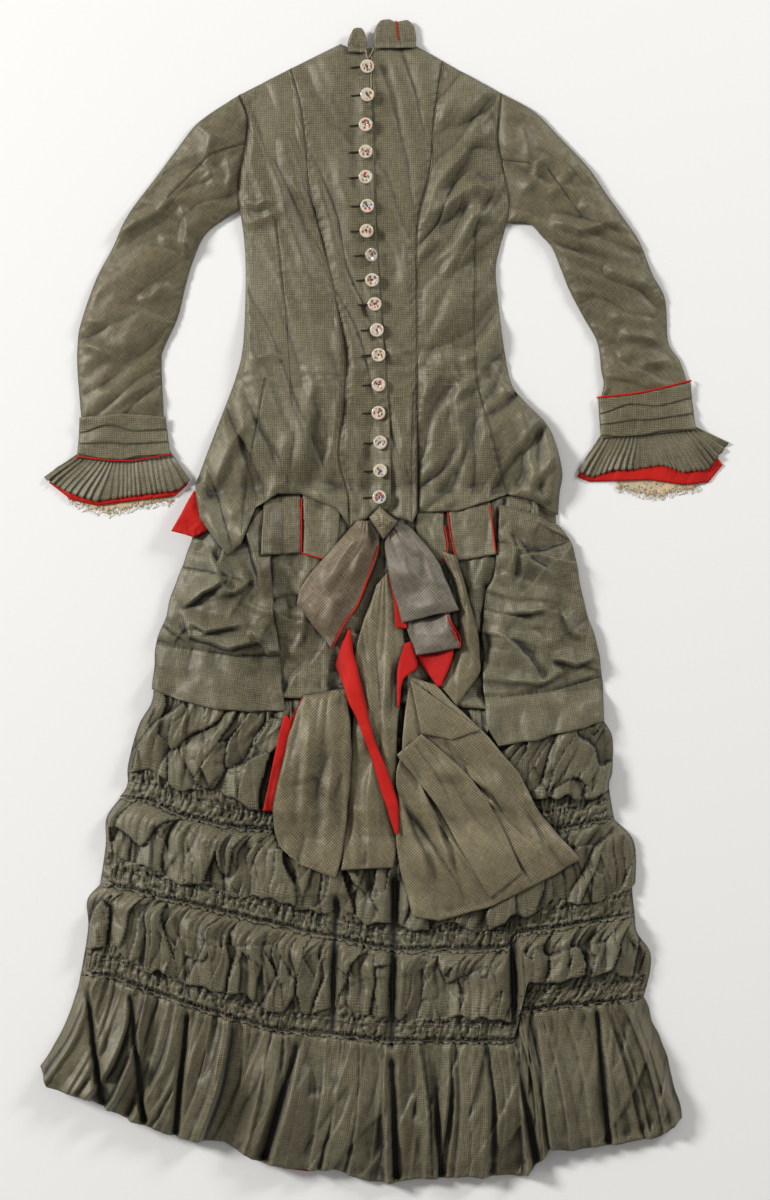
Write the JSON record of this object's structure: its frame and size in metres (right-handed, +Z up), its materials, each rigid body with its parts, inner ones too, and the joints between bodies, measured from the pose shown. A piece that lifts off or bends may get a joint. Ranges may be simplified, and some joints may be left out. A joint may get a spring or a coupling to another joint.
{
  "type": "bustle dress",
  "caption": "Historic bustle dress laid flat: buttoned princess bodice, tucked cuffs with pleated ruffles, hip draperies, sash bow, puffed skirt tiers and a gathered flounce.",
  "frame": {"origin": "under the middle of the dress, on the plane that it rests on", "axes": "+X to the wearer's left, +Y from the hem to the neck, +Z up out of the front"},
  "size_m": [0.8606, 1.451, 0.0481],
  "materials": {
    "checked_silk": "crisp silk in a fine dark and cream check, soft taffeta sheen",
    "bias_silk": "the same silk cut on the bias, soft sheen",
    "scarlet_silk": "scarlet silk facing, satin sheen",
    "lace": "aged beige cotton lace, matt",
    "button": "glazed cream button with small coloured dabs"
  },
  "bodies": {
    "root": {"back_bodice": "checked_silk", "back_skirt": "checked_silk", "bow_back_loop": "bias_silk", "bow_knot": "bias_silk", "bow_loop_left": "bias_silk", "bow_loop_right": "bias_silk", "bow_red_flap": "scarlet_silk", "bow_under_loop": "bias_silk", "button_01": "button", "button_02": "button", "button_03": "button", "button_04": "button", "button_05": "button", "button_06": "button", "button_07": "button", "button_08": "button", "button_09": "button", "button_10": "button", "button_11": "button", "button_12": "button", "button_13": "button", "button_14": "button", "button_15": "button", "button_16": "button", "button_17": "button", "collar_left": "checked_silk", "collar_right": "checked_silk", "cuff_left": "checked_silk", "cuff_right": "checked_silk", "flounce": "checked_silk", "front_left": "checked_silk", "front_panel": "checked_silk", "front_right": "checked_silk", "lace_left": "lace", "lace_right": "lace", "pannier_left": "checked_silk", "pannier_right": "checked_silk", "puff_tier_1": "checked_silk", "puff_tier_2": "checked_silk", "puff_tier_3": "checked_silk", "red_frill_left": "scarlet_silk", "red_frill_right": "scarlet_silk", "red_ribbon_left": "scarlet_silk", "red_ribbon_right": "scarlet_silk", "ruffle_left": "checked_silk", "ruffle_right": "checked_silk", "sash_tail_centre": "bias_silk", "sash_tail_left": "bias_silk", "sash_tail_right": "bias_silk", "sash_tip": "scarlet_silk", "side_front_left": "checked_silk", "side_front_right": "checked_silk", "sleeve_left": "checked_silk", "sleeve_right": "checked_silk", "tab_left_inner": "checked_silk", "tab_left_outer": "checked_silk", "tab_right_inner": "checked_silk", "tab_right_outer": "checked_silk", "under_sleeve_left": "checked_silk", "under_sleeve_right": "checked_silk"}
  },
  "joints": []
}
